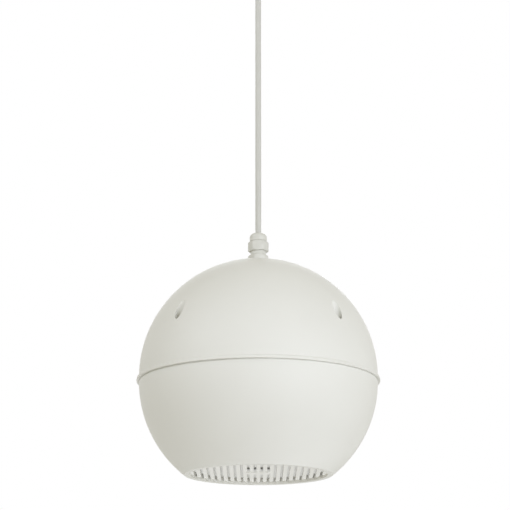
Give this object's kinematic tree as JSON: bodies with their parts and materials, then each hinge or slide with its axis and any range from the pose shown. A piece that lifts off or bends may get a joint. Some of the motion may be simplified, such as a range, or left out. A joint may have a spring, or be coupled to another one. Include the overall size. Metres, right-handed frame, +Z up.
{
  "type": "pendant speaker",
  "caption": "Ball-shaped loudspeaker that hangs on its cable from a ceiling fitting and plays down through a slatted grille.",
  "frame": {"origin": "on the ceiling, at the middle of the ceiling plate's top face, which is also the middle between its two screw holes", "axes": "+Z up along the cable and the ball's axis, front towards -Y, slats running front to back along Y, ceiling screw holes along X"},
  "size_m": [0.1938, 0.1938, 0.4533],
  "materials": {
    "shell_plastic": "fine moulded texture, slightly warm off-white",
    "ceiling_plastic": "satin moulded",
    "gland_nylon": "satin moulded",
    "cable_jacket": "smooth satin jacket",
    "core_insulation": "smooth",
    "seal_rubber": "matte",
    "foam": "matte",
    "zinc_steel": "zinc plated",
    "terminal_nylon": "satin moulded",
    "terminal_brass": "plain",
    "scrim_cloth": "fine open weave",
    "spider_cloth": "varnished cloth",
    "basket_paint": "semi-matte black",
    "surround_rubber": "matte",
    "cone_paper": "pressed pulp",
    "former_foil": "foil",
    "coil_copper": "enamelled copper wire",
    "magnet_ferrite": "ground ferrite",
    "tag_fibre": "hard fibre board",
    "core_iron": "stacked laminations",
    "winding_tape": "taped winding"
  },
  "bodies": {
    "speaker": {"upper_shell": "shell_plastic", "lower_shell": "shell_plastic", "grille": "shell_plastic", "badge_plate": "shell_plastic", "ceiling_cover": "ceiling_plastic", "ceiling_grip": "ceiling_plastic", "ceiling_grip_nut": "ceiling_plastic", "ceiling_grip_screw": "ceiling_plastic", "gland_body": "gland_nylon", "gland_dome_nut": "gland_nylon", "gland_lock_nut": "gland_nylon", "pendant_cable": "cable_jacket", "ceiling_cable_tail": "cable_jacket", "ball_cable_tail": "cable_jacket", "ceiling_cores": "core_insulation", "ball_cores": "core_insulation", "primary_leads": "core_insulation", "driver_leads": "core_insulation", "gland_seal": "seal_rubber", "gland_washer": "seal_rubber", "seam_gasket": "seal_rubber", "driver_gasket": "foam", "ceiling_plate": "zinc_steel", "ceiling_cover_screws": "zinc_steel", "ceiling_block_screw": "zinc_steel", "shell_screws": "zinc_steel", "driver_screws": "zinc_steel", "transformer_bracket": "zinc_steel", "transformer_screws": "zinc_steel", "block_screw": "zinc_steel", "cable_stop_screw": "zinc_steel", "cable_stop": "zinc_steel", "top_plate": "zinc_steel", "yoke": "zinc_steel", "ceiling_terminal_block": "terminal_nylon", "terminal_block": "terminal_nylon", "transformer_bobbin": "terminal_nylon", "ceiling_terminal_sleeves": "terminal_brass", "ceiling_terminal_screws": "terminal_brass", "terminal_sleeves": "terminal_brass", "terminal_screws": "terminal_brass", "driver_tags": "terminal_brass", "grille_scrim": "scrim_cloth", "spider": "spider_cloth", "driver_basket": "basket_paint", "surround": "surround_rubber", "magnet": "magnet_ferrite", "driver_tag_board": "tag_fibre", "transformer_core": "core_iron", "transformer_winding": "winding_tape"},
    "cone_assembly": {"cone": "cone_paper", "dust_cap": "cone_paper", "voice_coil_former": "former_foil", "voice_coil": "coil_copper"}
  },
  "joints": [
    {"name": "cone_travel", "type": "slide", "parent": "speaker", "child": "cone_assembly", "axis": [0, 0, 1], "range_m": [-0.0025, 0.0025], "stiffness_N_per_m": 2000, "deforming": ["surround", "spider"]}
  ]
}
